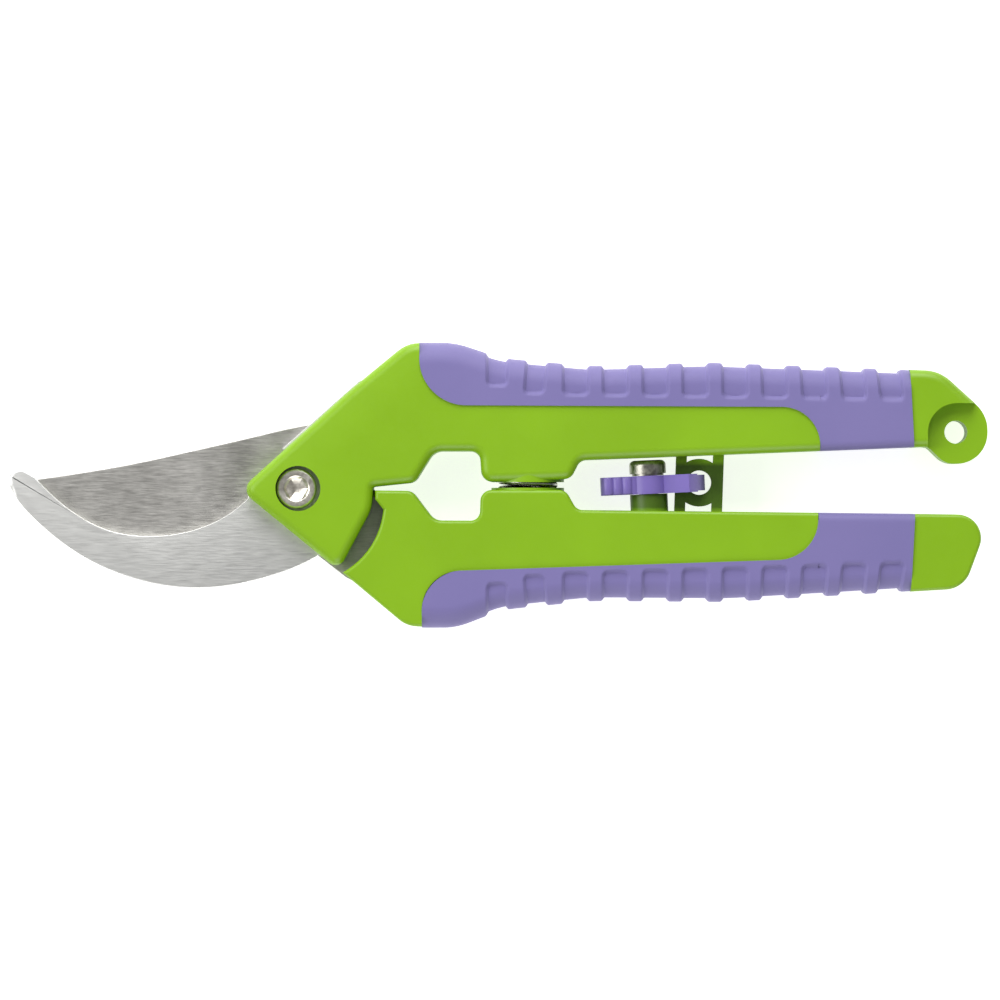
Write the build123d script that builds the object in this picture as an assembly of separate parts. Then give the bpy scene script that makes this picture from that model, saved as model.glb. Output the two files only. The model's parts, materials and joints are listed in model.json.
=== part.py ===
from build123d import *
import math
import os

# Bypass pruner: two jaw plates that slide past each other on one bolt, each moulded into a
# nylon handle with a rubber grip. All sizes are in millimetres. The pruner is drawn lying flat,
# closed, about its pivot: +X runs to the handle ends, +Y to the upper handle, +Z out of the
# face with the bolt head, and Z = 0 is the plane where the two jaw plates meet. place_all()
# moves everything so that the origin is under the middle of the whole pruner.

# ---- driving dimensions -------------------------------------------------------------------
handle_length = 141.07           # pivot to the end of the upper handle
jaw_reach = 59.1                 # pivot to the point of the hook
plate_thickness = 3.0            # each jaw plate
plate_gap = 0.06                 # between the two jaw plates
body_half = 7.6                  # half thickness of the nylon handles
body_edge_r = 1.8                # rounding of the handles' long edges
body_far_edge_r = 0.7            # the same on the side where the head is cut away
grip_proud = 0.4                 # how far the rubber stands out of the nylon, front and back
grip_wall = 2.2                  # rubber over the nylon core
grip_outer_r = 4.5               # rounding of the grips on the palm side
grip_inner_r = 1.6               # rounding of the grips on the finger side
grip_start = 25.1                # X where the rubber begins
palm_line = 12.0                 # distance from the pivot line that parts palm and finger sides
cap_length = 14.7                # nylon end cap beyond the rubber
cap_lean = 2.4                   # how far the rubber's end leans back over the zone's reach
zone_reach = 45.0                # how far out the grip zones are drawn
wrap_length = 19.6               # rubber that goes all the way round, before the cap
keeper_to_wrap = 3.0             # least nylon between the keeper and that rubber

pivot_bolt_d = 6.0               # shoulder of the pivot bolt
pivot_head_d = 8.1
pivot_head_height = 3.3
pivot_head_chamfer = 0.5
pivot_key_af = 4.0               # hex key across flats
pivot_key_depth = 2.2
pivot_thread_d = 5.0
counterbore_gap = 0.55           # radial, round the bolt's head
counterbore_shift = 0.35         # the counterbore is this much off the pivot, along X
pivot_running_gap = 0.03         # radial, plates on the bolt
face_gap = 0.05                  # between faces that turn on each other
bolt_proud = 0.15                # how far the bolt stands out of the nut
washer_d = 10.0
washer_thickness = 1.0
washer_bore_gap = 0.15           # radial, washer on the thread
nut_af = 8.0
nut_height = 3.3
nut_insert_height = 1.1
nut_insert_d = 6.6
nut_pocket_gap = 0.8             # radial, round the washer

swing_r = 18.3                   # each handle stays outside this circle on the other's side
swing_end_r = 19.6               # its distance from the pivot at the outer edge
swing_share = 0.85               # of the cut is its arc; short straights lead into it
nub_left = 16.1                  # the nub that reaches into that circle beside the parting
nub_base = 0.4
nub_drop = 2.2                   # height of the nub's blunt end
nub_height = 4.3

spring_x = 47.2
spring_d = 12.4
spring_wire_d = 1.35
spring_clearance = 0.3           # radial, spring in its cups
cup_depth = 7.0
seat_rim_wall = 0.95
seat_rim_height = 0.45
upper_bumper_y = 1.75            # the faces of the two bumpers at the spring
lower_bumper_y = -0.3

latch_x = 72.0
latch_tilt = 2.5                 # degrees, the latch leans with its post
latch_post_d = 7.7
latch_post_length = 8.0
latch_base_y = -1.15             # top of the post
latch_thickness = 3.7
latch_hub_d = 8.8
latch_tab_reach = 9.8            # thumb tab, from the screw
latch_tab_width = 7.6
latch_tab_corner_r = 2.2
latch_bore_gap = 0.05            # radial, lever on its screw
latch_screw_d = 4.0
latch_thread_d = 3.4
latch_thread_length = 10.0
latch_head_d = 7.5
latch_head_height = 2.75
latch_head_round = 1.1
latch_head_gap = 0.3             # between the screw's head and the upper handle
latch_recess_length = 4.2        # the cross in the screw's head
latch_recess_width = 0.9
latch_recess_depth = 1.3
latch_washer_d = 6.5
latch_washer_thickness = 0.4
latch_washer_gap = 0.1           # radial, washer on the screw
latch_hook_r = 10.2              # middle of the hook's arc about the latch screw
latch_hook_width = 3.0
latch_tip_thickness = 3.2
latch_release = 19.0             # degrees from locked to just clear of the keeper
latch_tip_angle = 10.5           # degrees round the screw where the hook's tip is at rest
latch_tip_spare = 2.5            # degrees of thin tip beyond the keeper
latch_hook_end = 42.0            # degrees where the hook's arc runs into the arm
latch_arm_start = 34.0
latch_arm_end = 46.0
latch_arm_root = 3.5

keeper_thickness = 2.4
keeper_hole_gap = 0.3            # between the hole and the corners of the hook's tip
keeper_ring_wall = 2.4
keeper_bar_width = 2.2
keeper_lean = 2.0                # degrees, the bars lean with the gap between the handles
keeper_offset = 0.1              # the ring stands this much beyond the hook's arc
keeper_foot_y = -5.8
keeper_head_y = 9.0              # the bars' upper ends, inside the upper handle
keeper_clearance = 0.35          # round the keeper's foot in the lower handle
keeper_foot_gap = 0.8            # under the foot
keeper_swing_room = 0.4          # more length in the slot, as the keeper swings out of it

hang_hole_r = 2.35
hang_eye_r = 6.47                # the rounded end round the hang hole
hang_y = 11.5
hang_dish_r = 5.9
hang_eye_half = 4.6              # half thickness of the eye round the hole

window_depth = 0.75              # grip windows, on the palm side
window_face_depth = 0.5          # grip windows, on the front and back faces
window_width = 4.7
window_corner_r = 0.9
window_pitch = 8.12
first_window_x = 56.95
last_rib = 1.5                   # least rib between the last window and the cap
upper_window_ends = (19.2, 18.3)     # Y of the inner ends, first window and last
lower_window_ends = (-17.3, -15.4)
window_lean = 5.0                # degrees, the last window; the middle one stands straight
small_windows = [(40.95, 3.7, 21.1, -19.5, 0), (48.45, 3.7, 19.5, -17.9, -5)]

spare = 1.0                      # how far a cutting solid runs past what it cuts

# ---- worked out ---------------------------------------------------------------------------
plate_low = plate_gap / 2
plate_high = plate_low + plate_thickness
cap_start = handle_length - cap_length
blank_start = grip_start - 10.1
blank_end = handle_length - spare
grip_half = body_half + grip_proud
counterbore_d = pivot_head_d + 2 * counterbore_gap
nut_pocket_d = washer_d + 2 * nut_pocket_gap
seat_rim_d = spring_d + 2 * (spring_clearance + seat_rim_wall)
head_low = plate_high + face_gap
washer_top = -plate_high
nut_top = washer_top - washer_thickness
nut_bottom = nut_top - nut_height
bolt_end = nut_bottom - bolt_proud
hang_x = handle_length - hang_eye_r
window_room = cap_start - last_rib - window_width / 2 - first_window_x
window_count = int(window_room / window_pitch) + 1
keeper_hole_r = math.hypot(latch_hook_width, latch_tip_thickness) / 2 + keeper_hole_gap
keeper_ring_r = keeper_hole_r + keeper_ring_wall
keeper_bar_spacing = 2 * keeper_ring_r - keeper_bar_width
keeper_x = latch_x + latch_hook_r + keeper_offset
wrap_start = max(cap_start - wrap_length, keeper_x + keeper_ring_r + keeper_to_wrap)
keeper_y = latch_base_y + face_gap + latch_thickness / 2 + (keeper_x - latch_x) * math.tan(
    math.radians(latch_tilt)
)


# ---- small helpers ------------------------------------------------------------------------
def outline(corners):
    """A closed face from corners (x, y, rounding radius)."""
    points = [(x, y) for x, y, _ in corners]
    radii = [radius for _, _, radius in corners]
    return make_face(FilletPolyline(*points, radius=radii, close=True).edges())


def slab(section, low, high):
    """A flat section made solid between two heights."""
    return extrude(Pos(0, 0, low) * section, amount=high - low, dir=(0, 0, 1))


def soften(solid, height, radius):
    """Round every edge of the flat face at one height."""
    rim = solid.edges().filter_by_position(Axis.Z, height, height)
    return fillet(rim, radius)


def disc(radius, x=0.0, y=0.0):
    """A round section."""
    return Pos(x, y) * Circle(radius)


def post(x, z, radius, low, high):
    """A round solid that stands along Y."""
    return Pos(x, low, z) * Rot(-90, 0, 0) * Cylinder(
        radius, high - low, align=(Align.CENTER, Align.CENTER, Align.MIN)
    )


# ---- handle outlines ----------------------------------------------------------------------
# Each handle's outline is its head, which covers the pivot on the handle's own side, followed
# by its arm. On the other side the head is left out, and the outline starts clear of the swing.
upper_tip = (-11.5, -0.3)
upper_shoulder = (10.6, 19.8)
upper_palm = [(32.3, 29.8, 4), (42.0, 26.6, 12), (60.0, 25.0, 60), (84.0, 25.75, 90)]
upper_palm_end = (hang_x - 3.4, 24.0)
upper_finger = [(hang_x - 5.7, 8.5), (spring_x + 10.7, 5.75)]
upper_arm = [
    (22.6, 29.65, 7), *upper_palm, (*upper_palm_end, 8),
    (handle_length, hang_y + 3.5, 7), (handle_length, hang_y - hang_eye_r, 6.3),
    (hang_x - 2.2, hang_y - hang_eye_r, 4.6), (*upper_finger[0], 2), (*upper_finger[1], 2.2),
    (spring_x + 8.8, upper_bumper_y + 0.2, 2.3), (spring_x - 9.4, upper_bumper_y - 0.45, 2.3),
    (spring_x - 9.8, 7.6, 2), (28.2, 7.6, 3), (24.2, 1.2, 2.4),
]
upper_head = [
    (15.7, 0.3, 0.5), (15.3, -4.2, 8), (12.5, -9.4, 6), (8.6, -16.7, 2), (*upper_tip, 2.5),
    (*upper_shoulder, 25),
]
lower_tip = (-11.2, 0.2)
lower_shoulder = (22.5, -28.05)
lower_palm = [(32.6, -28.45, 4), (42.0, -24.8, 12), (60.0, -23.0, 60), (88.0, -23.2, 90)]
lower_palm_end = (handle_length - 5.0, -20.4)
lower_finger = [(wrap_start + 2.8, -5.0), (spring_x + 10.0, -4.4)]
lower_arm = [
    (*lower_shoulder, 6), *lower_palm, (*lower_palm_end, 5.5), (handle_length + 0.6, -5.4, 4.8),
    (*lower_finger[0], 60), (*lower_finger[1], 2.2), (spring_x + 7.7, lower_bumper_y, 2.3),
    (spring_x - 9.6, lower_bumper_y, 2.3), (spring_x - 9.8, -6.6, 2), (28.2, -6.55, 3),
    (23.6, -0.5, 2.4),
]
lower_head = [
    (15.7, -0.5, 0.5), (15.3, 4.2, 8), (12.5, 9.4, 6), (8.6, 16.4, 2), (*lower_tip, 2.5),
]


def swing_corners(tip, shoulder, side):
    """Corners of the cut-back end: out of the parting, round the nub, and along the swing."""
    slope = (shoulder[1] - tip[1]) / (shoulder[0] - tip[0])
    level = tip[1] - slope * tip[0]
    lean = 1 + slope ** 2
    edge_x = (math.sqrt(lean * swing_end_r ** 2 - level ** 2) - slope * level) / lean
    edge = (edge_x, slope * edge_x + level)
    step = (math.sqrt(swing_r ** 2 - nub_height ** 2), side * nub_height)
    # The corner where the tangents at both ends of the swing meet
    half_turn = (math.atan2(*step[::-1]) - math.atan2(*edge[::-1])) / 2
    bulge = math.tan(half_turn) / 2
    corner = (
        (step[0] + edge[0]) / 2 + (step[1] - edge[1]) * bulge,
        (step[1] + edge[1]) / 2 - (step[0] - edge[0]) * bulge,
    )
    arc_r = math.dist(step, edge) / 2 / math.sin(abs(half_turn))
    return [
        (nub_left, side * nub_base, 0),
        (nub_left, side * nub_drop, 0),
        (*step, 0),
        (*corner, swing_share * arc_r),
        (*edge, 0),
    ]


def on_line(start, end, x):
    """The point of a straight line at one X."""
    return x, start[1] + (end[1] - start[1]) * (x - start[0]) / (end[0] - start[0])


def grip_outline(palm, palm_end, finger):
    """A grip's section: the handle's palm side and finger side, carried on past both ends."""
    return outline([
        (blank_start, palm[0][1], 0), *palm, (*on_line(palm[-1], palm_end, blank_end), 0),
        (*on_line(*finger, blank_end), 0), (*on_line(*finger, blank_start), 0),
    ])


upper_outline = outline(upper_head + upper_arm)
upper_far_outline = outline(swing_corners(upper_tip, upper_shoulder, 1)
                            + [(*upper_shoulder, 25)] + upper_arm)
lower_outline = outline(lower_head + lower_arm)
lower_far_outline = outline(swing_corners(lower_tip, lower_shoulder, -1) + lower_arm)
upper_grip_outline = grip_outline(upper_palm, upper_palm_end, upper_finger)
lower_grip_outline = grip_outline(lower_palm, lower_palm_end, lower_finger)
upper_grip_zone = outline([
    (grip_start, 17.0, 9.5), (grip_start, zone_reach, 1), (cap_start - cap_lean, zone_reach, 1),
    (cap_start, 0, 1), (wrap_start, 0, 1), (wrap_start, 16.6, 7.8),
])
lower_grip_zone = outline([
    (grip_start + 0.5, -17.0, 8), (grip_start + 0.5, -zone_reach, 1),
    (cap_start - cap_lean, -zone_reach, 1), (cap_start, 0, 1), (wrap_start - 0.4, 0, 1),
    (wrap_start - 0.4, -14.3, 8),
])


hub_reach = 10.0                 # the jaws' hub, from which their length is set
drawn_reach = 59.1               # the reach for which the jaws' points are given


def jaw_points(*points):
    """Points of a jaw, drawn out along X beyond the hub to the length of the jaw."""
    stretch = (jaw_reach - hub_reach) / (drawn_reach - hub_reach)
    return [
        (-hub_reach + (x + hub_reach) * stretch if x < -hub_reach else x, y) for x, y in points
    ]


def counter_section():
    """The hook-shaped jaw with its hub and its tang, seen from the front."""
    outer = Spline(*jaw_points(
        (-58.9, 0.6), (-57.2, -2.2), (-52.8, -7.0), (-44.2, -13.6), (-33.0, -18.5),
        (-21.8, -20.4), (-10.0, -19.2), (0.7, -15.6), (4.8, -13.4),
    ))
    inner = Spline(*jaw_points(
        (-9.9, -1.9), (-12.7, -4.4), (-20.7, -8.4), (-29.5, -9.75), (-38.4, -8.6),
        (-47.3, -3.7), (-53.6, 2.2),
    ))
    tip = Polyline(*jaw_points(
        (-53.6, 2.2), (-56.2, 3.7), (-58.0, 3.7), (-59.1, 2.6), (-58.9, 0.6),
    ))
    tang = Polyline(
        (4.8, -13.4), (11.4, -9.2), (14.3, -3.6), (14.6, 1.0), (20.0, 2.2), (34.0, 11.0),
        (34.0, 19.0), (27.0, 24.0), (20.0, 24.6), (12.6, 21.95), (10.8, 20.35), (-3.0, 8.1),
        (-2.4, 7.45), (-9.5, 0.9), (-9.9, -1.9),
    )
    return make_face(outer.edges() + tang.edges() + inner.edges() + tip.edges())


def cutting_section():
    """The cutting jaw with its hub and its tang, seen from the front."""
    spine = Spline(*jaw_points(
        (-54.6, 1.7), (-44.2, 3.2), (-36.0, 4.6), (-27.9, 6.25), (-19.7, 8.1), (-11.5, 9.95),
        (-3.4, 11.9), (2.6, 13.1),
    ))
    edge = Spline(*jaw_points(
        (-6.0, -7.2), (-10.0, -9.6), (-18.0, -12.6), (-27.0, -13.4), (-37.0, -11.4),
        (-46.5, -6.4), (-54.6, 1.2),
    ))
    point = Polyline(*jaw_points((-54.6, 1.2), (-54.6, 1.7)))
    tang = Polyline(
        (2.6, 13.1), (7.4, 12.9), (11.4, 9.2), (14.3, 3.6), (14.6, -1.4), (20.0, -2.6),
        (34.0, -9.5), (34.0, -18.0), (27.0, -22.6), (20.0, -23.6), (9.9, -18.15),
        (4.6, -14.0), (-6.0, -7.2),
    )
    return make_face(spine.edges() + tang.edges() + edge.edges() + point.edges())


# ---- pieces -------------------------------------------------------------------------------
def counter_blade():
    """The fixed hook jaw, in front."""
    plate = slab(counter_section(), plate_low, plate_high)
    bore = slab(disc(pivot_bolt_d / 2 + pivot_running_gap), plate_low - spare, plate_high + spare)
    return plate - bore


def cutting_blade():
    """The cutting jaw, behind. The bore fits the bolt's shoulder."""
    plate = slab(cutting_section(), -plate_high, -plate_low)
    bore = slab(disc(pivot_bolt_d / 2), -plate_high - spare, plate_low)
    return plate - bore


def handle_shell(own, far, side):
    """A handle: the whole outline on its own side, and only what clears the swing beyond it."""
    split = side * (plate_low + face_gap)
    own_face = side * body_half
    whole = slab(own, min(split, own_face), max(split, own_face))
    rest = slab(far, min(split, -own_face), max(split, -own_face))
    return soften(whole, own_face, body_edge_r) + soften(rest, -own_face, body_far_edge_r)


def spring_cup(shell, face_y, side):
    """A handle with its cup for the spring and the raised rim round it."""
    rim_y = face_y - side * seat_rim_height
    inside_y = face_y + side * 2 * spare
    rim = post(spring_x, 0, seat_rim_d / 2, min(rim_y, inside_y), max(rim_y, inside_y))
    floor_y = rim_y + side * cup_depth
    mouth_y = rim_y - side * spare
    cup_r = spring_d / 2 + spring_clearance
    cup = post(spring_x, 0, cup_r, min(floor_y, mouth_y), max(floor_y, mouth_y))
    return shell + rim - cup


def long_rims(blank, half, palm):
    """The front and back rim edges along the palm side, or along the finger side."""
    rims = [e for e in blank.edges() if abs(abs((e @ 0.5).Z) - half) < 0.001]
    along = [e for e in rims if abs((e @ 0).X - (e @ 1).X) > 0.001]
    return [e for e in along if (abs((e @ 0.5).Y) > palm_line) == palm]


def grip_blank(section, inset, face_inset):
    """A grip as if it were solid, set in by a given depth."""
    half = grip_half - face_inset
    blank = slab(offset(section, -inset) if inset else section, -half, half)
    blank = fillet(long_rims(blank, half, True), grip_outer_r - inset)
    return fillet(long_rims(blank, half, False), grip_inner_r)


def window_section(side):
    """All windows of one grip, seen from the front, open to the palm side."""
    first_end, last_end = upper_window_ends if side > 0 else lower_window_ends
    spots = [
        (x, width, up if side > 0 else down, lean) for x, width, up, down, lean in small_windows
    ]
    for i in range(window_count):
        along = i / (window_count - 1)
        end = first_end + (last_end - first_end) * along
        lean = window_lean * max(0, 2 * along - 1)
        spots.append((first_window_x + i * window_pitch, window_width, end, lean))
    reach = body_half + palm_line
    section = Sketch()
    for x, width, end, lean in spots:
        cell = RectangleRounded(width, reach, window_corner_r)
        section += Pos(x, end) * Rot(0, 0, side * lean) * Pos(0, side * reach / 2) * cell
    return section


def grip(section, zone, side):
    """A rubber grip: ribs and windows outside, and the nylon core taken out."""
    blank = grip_blank(section, 0, 0)
    floor = grip_blank(section, window_depth, window_face_depth)
    windows = slab(window_section(side), -grip_half - spare, grip_half + spare)
    skin = (blank - floor) & windows
    zone_slab = slab(zone, -grip_half - spare, grip_half + spare)
    return ((blank - skin) & zone_slab) - grip_core(section, zone)


def grip_core(section, zone):
    """The nylon that runs on inside a grip."""
    core_half = grip_half - grip_wall
    core = slab(offset(section, -grip_wall), -core_half, core_half)
    return core & slab(zone, -grip_half, grip_half)


def keeper():
    """The bracket on the upper handle that the latch hooks into: two bars and a ring."""
    lean = math.tan(math.radians(keeper_lean))
    section = disc(keeper_ring_r, keeper_x, keeper_y)
    for side in (-1, 1):
        x = keeper_x + side * keeper_bar_spacing / 2
        foot = x + (keeper_foot_y - keeper_y) * lean
        head = x + (keeper_head_y - keeper_y) * lean
        half = keeper_bar_width / 2
        section += make_face(Polyline(
            (foot - half, keeper_foot_y), (foot + half, keeper_foot_y),
            (head + half, keeper_head_y), (head - half, keeper_head_y), close=True,
        ))
    section -= disc(keeper_hole_r, keeper_x, keeper_y)
    return slab(section, -keeper_thickness / 2, keeper_thickness / 2)


def hang_eye_cut():
    """The dishes that thin the eye, open to the end of the handle, and the hang hole."""
    dish = disc(hang_dish_r)
    for direction in (0, -90):
        reach = Pos(hang_dish_r, 0) * Rectangle(2 * hang_dish_r, 2 * hang_dish_r)
        dish += Rot(0, 0, direction) * reach
    place = Pos(hang_x, hang_y)
    cut = slab(place * dish, hang_eye_half, body_half + spare)
    cut += slab(place * dish, -body_half - spare, -hang_eye_half)
    cut += slab(disc(hang_hole_r, hang_x, hang_y), -body_half, body_half)
    return cut


def upper_body():
    """The upper handle's nylon, with the head over the pivot and the keeper."""
    shell = handle_shell(upper_outline, upper_far_outline, 1)
    zone = slab(upper_grip_zone, -body_half - spare, body_half + spare)
    shell = shell - zone + grip_core(upper_grip_outline, upper_grip_zone)
    shell = spring_cup(shell, upper_bumper_y, 1) + keeper()
    shell -= slab(disc(counterbore_d / 2, counterbore_shift), 0, body_half + spare)
    _, seat = latch_stack()
    room_top = seat + latch_head_height + latch_head_gap
    shell -= on_latch(post(0, 0, latch_head_d / 2 + latch_head_gap, seat, room_top))
    return shell - hang_eye_cut() - slab(counter_section(), plate_low, plate_high)


def lower_body():
    """The lower handle's nylon, with the nut pocket, the latch post and the keeper's slot."""
    shell = handle_shell(lower_outline, lower_far_outline, -1)
    zone = slab(lower_grip_zone, -body_half - spare, body_half + spare)
    shell = shell - zone + grip_core(lower_grip_outline, lower_grip_zone)
    shell = spring_cup(shell, lower_bumper_y, -1)
    shell += on_latch(post(0, 0, latch_post_d / 2, -latch_post_length, 0))
    shell -= on_latch(post(0, 0, latch_thread_d / 2, -latch_thread_length, spare))
    shell -= slab(disc(nut_pocket_d / 2), -body_half - spare, 0)
    foot_x = keeper_x + (keeper_foot_y - keeper_y) * math.tan(math.radians(keeper_lean))
    slot_width = 2 * keeper_ring_r + 2 * keeper_clearance + keeper_swing_room
    slot_floor = keeper_foot_y - keeper_foot_gap
    slot_mouth = lower_finger[1][1] + 2 * spare
    slot = Pos(foot_x, (slot_floor + slot_mouth) / 2) * Rectangle(
        slot_width, slot_mouth - slot_floor
    )
    half = keeper_thickness / 2 + keeper_clearance
    shell -= slab(slot, -half, half)
    return shell - slab(cutting_section(), -plate_high, -plate_low)


def pivot_bolt():
    """Socket-head bolt: shoulder through both jaws, thread through the nut."""
    head = slab(disc(pivot_head_d / 2), head_low, head_low + pivot_head_height)
    head = chamfer(head.edges().sort_by(Axis.Z)[-1], pivot_head_chamfer)
    key = slab(
        RegularPolygon(pivot_key_af / 2, 6, major_radius=False),
        head_low + pivot_head_height - pivot_key_depth, head_low + pivot_head_height + spare,
    )
    shoulder = slab(disc(pivot_bolt_d / 2), washer_top, head_low)
    thread = slab(disc(pivot_thread_d / 2), bolt_end, washer_top)
    return head - key + shoulder + thread


def pivot_washer():
    """Flat washer between the cutting jaw and the nut."""
    ring = disc(washer_d / 2) - disc(pivot_thread_d / 2 + washer_bore_gap)
    return slab(ring, nut_top, washer_top)


def nut_insert():
    """The nylon ring that locks the nut."""
    ring = disc(nut_insert_d / 2) - disc(pivot_thread_d / 2)
    return slab(ring, nut_bottom, nut_bottom + nut_insert_height)


def pivot_nut():
    """Hex lock nut, its corners turned down at the outer end."""
    blank = slab(RegularPolygon(nut_af / 2, 6, major_radius=False), nut_bottom, nut_top)
    cone_r = nut_af / 2 + face_gap
    cone = Pos(0, 0, nut_bottom) * Cone(
        cone_r, cone_r + 2 * nut_height, nut_height,
        align=(Align.CENTER, Align.CENTER, Align.MIN),
    )
    seat = slab(disc(nut_insert_d / 2), nut_bottom - spare, nut_bottom + nut_insert_height)
    return (blank & cone) - slab(disc(pivot_thread_d / 2), nut_bottom, nut_top) - seat


def return_spring():
    """The space that the coil spring fills at rest: a straight tube between the cup floors."""
    low = lower_bumper_y + seat_rim_height - cup_depth
    high = upper_bumper_y - seat_rim_height + cup_depth
    outer = post(spring_x, 0, spring_d / 2, low, high)
    return outer - post(spring_x, 0, spring_d / 2 - spring_wire_d, low, high)


def on_latch(shape):
    """Puts a shape drawn about the latch screw, along Y from the post's top, in its place."""
    return Pos(latch_x, latch_base_y, 0) * Rot(0, 0, latch_tilt) * shape


def arc_band(inner_r, outer_r, start, end, low, high):
    """Part of a ring about the latch screw, between two angles from +X towards +Z."""
    ring = post(0, 0, outer_r, low, high) - post(0, 0, inner_r, low - spare, high + spare)
    far = 3 * outer_r
    start_point = (far * math.cos(math.radians(start)), far * math.sin(math.radians(start)))
    end_point = (far * math.cos(math.radians(end)), far * math.sin(math.radians(end)))
    wedge = make_face(Polyline((0, 0), start_point, end_point, close=True))
    slice_ = extrude(
        Plane.XZ * Pos(0, 0, -high - spare) * wedge, amount=high - low + 2 * spare,
        dir=(0, -1, 0),
    )
    return ring & slice_


def latch_lever():
    """Thumb lever: hub, thumb tab to the left, and the hook that curls into the keeper."""
    low = face_gap
    high = low + latch_thickness
    hub = post(0, 0, latch_hub_d / 2, low, high)
    tab_length = latch_tab_reach - spare
    tab_section = Pos(tab_length / 2 - latch_tab_reach, 0) * RectangleRounded(
        tab_length, latch_tab_width, latch_tab_corner_r
    )
    tab = extrude(Plane.XZ * Pos(0, 0, -low) * tab_section, amount=high - low, dir=(0, 1, 0))
    inner = latch_hook_r - latch_hook_width / 2
    outer = latch_hook_r + latch_hook_width / 2
    middle = (low + high) / 2
    tip_low = middle - latch_tip_thickness / 2
    tip_high = middle + latch_tip_thickness / 2
    thick_start = latch_tip_angle + latch_release + latch_tip_spare
    hook = arc_band(inner, outer, latch_tip_angle, thick_start, tip_low, tip_high)
    hook += arc_band(inner, outer, thick_start, latch_hook_end, low, high)
    arm = arc_band(latch_arm_root, outer, latch_arm_start, latch_arm_end, low, high)
    bore = post(0, 0, latch_screw_d / 2 + latch_bore_gap, low - spare, high + spare)
    return on_latch(hub + tab + hook + arm - bore)


def latch_stack():
    """Heights above the post for the washer and the screw head."""
    washer_low = face_gap + latch_thickness + face_gap
    return washer_low, washer_low + latch_washer_thickness


def latch_washer():
    """Thin washer under the latch screw's head."""
    low, high = latch_stack()
    ring = post(0, 0, latch_washer_d / 2, low, high)
    bore_r = latch_screw_d / 2 + latch_washer_gap
    return on_latch(ring - post(0, 0, bore_r, low - spare, high + spare))


def latch_screw():
    """Pan-head screw with a cross recess; its shoulder carries the lever."""
    _, seat = latch_stack()
    head = post(0, 0, latch_head_d / 2, seat, seat + latch_head_height)
    head = fillet(head.edges().sort_by(Axis.Y)[-1], latch_head_round)
    top = seat + latch_head_height
    bar = Box(latch_recess_length, 2 * latch_recess_depth, latch_recess_width)
    for turn in (0, 90):
        head -= Pos(0, top, 0) * Rot(0, turn, 0) * bar
    shank = post(0, 0, latch_screw_d / 2, 0, seat)
    thread = post(0, 0, latch_thread_d / 2, spare / 2 - latch_thread_length, 0)
    return on_latch(head + shank + thread)


# ---- all pieces, in place -----------------------------------------------------------------
def make_all():
    """Every piece by its node name, about the pivot."""
    return {
        "upper_handle_body": upper_body(),
        "upper_handle_grip": grip(upper_grip_outline, upper_grip_zone, 1),
        "lower_handle_body": lower_body(),
        "lower_handle_grip": grip(lower_grip_outline, lower_grip_zone, -1),
        "counter_blade": counter_blade(),
        "cutting_blade": cutting_blade(),
        "pivot_bolt": pivot_bolt(),
        "pivot_washer": pivot_washer(),
        "pivot_nut": pivot_nut(),
        "pivot_nut_insert": nut_insert(),
        "return_spring": return_spring(),
        "latch_lever": latch_lever(),
        "latch_screw": latch_screw(),
        "latch_washer": latch_washer(),
    }


def place_all(pieces):
    """The pieces moved so that the origin is under the middle of their common box."""
    boxes = [piece.bounding_box() for piece in pieces.values()]
    left = min(box.min.X for box in boxes)
    right = max(box.max.X for box in boxes)
    near = min(box.min.Y for box in boxes)
    far = max(box.max.Y for box in boxes)
    bottom = min(box.min.Z for box in boxes)
    shift = Vector(-(left + right) / 2, -(near + far) / 2, -bottom)
    return shift, {name: Pos(shift) * piece for name, piece in pieces.items()}


pivot_place, placed = place_all(make_all())
os.makedirs("parts", exist_ok=True)
for node, piece in placed.items():
    export_step(piece, f"parts/{node}.step")
print("pivot at", pivot_place)
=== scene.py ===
"""Looks of a bypass pruner that lies shut on a pale table, seen from straight above.

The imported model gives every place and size. The jaws, rubber grips, coil spring and pivot
bolt are rebuilt here as finer surfaces, and the latch gets fluted pads; the nylon handles and
the small parts keep their shape.
All lengths are in metres in the model's frame: +X to the handle ends, +Z up.
"""

import json
import logging
import math
from dataclasses import dataclass
from enum import Enum

import bpy
import numpy as np
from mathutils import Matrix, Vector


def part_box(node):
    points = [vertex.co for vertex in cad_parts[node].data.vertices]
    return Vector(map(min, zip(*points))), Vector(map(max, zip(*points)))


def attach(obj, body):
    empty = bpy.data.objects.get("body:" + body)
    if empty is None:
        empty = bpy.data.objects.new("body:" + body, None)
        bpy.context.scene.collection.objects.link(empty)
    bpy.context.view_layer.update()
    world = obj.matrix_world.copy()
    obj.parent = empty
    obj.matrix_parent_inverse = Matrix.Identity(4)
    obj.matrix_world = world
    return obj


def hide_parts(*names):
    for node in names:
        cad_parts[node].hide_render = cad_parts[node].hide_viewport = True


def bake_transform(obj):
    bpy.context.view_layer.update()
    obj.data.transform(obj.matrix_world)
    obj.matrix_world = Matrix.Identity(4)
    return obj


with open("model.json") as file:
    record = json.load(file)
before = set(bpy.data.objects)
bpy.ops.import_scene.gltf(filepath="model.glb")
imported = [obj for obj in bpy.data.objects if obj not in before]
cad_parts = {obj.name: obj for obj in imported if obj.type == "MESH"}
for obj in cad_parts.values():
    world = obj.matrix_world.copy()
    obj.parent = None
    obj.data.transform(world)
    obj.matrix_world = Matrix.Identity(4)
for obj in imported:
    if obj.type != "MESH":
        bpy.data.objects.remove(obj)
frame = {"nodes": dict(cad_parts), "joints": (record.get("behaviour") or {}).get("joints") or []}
log = logging.getLogger("pruner")

MM = 0.001


# ---- where things are ----------------------------------------------------------------------
JOINTS = {joint["name"]: joint for joint in frame["joints"]}
PIVOT = np.array(JOINTS["pivot"]["pos_m"])


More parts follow.
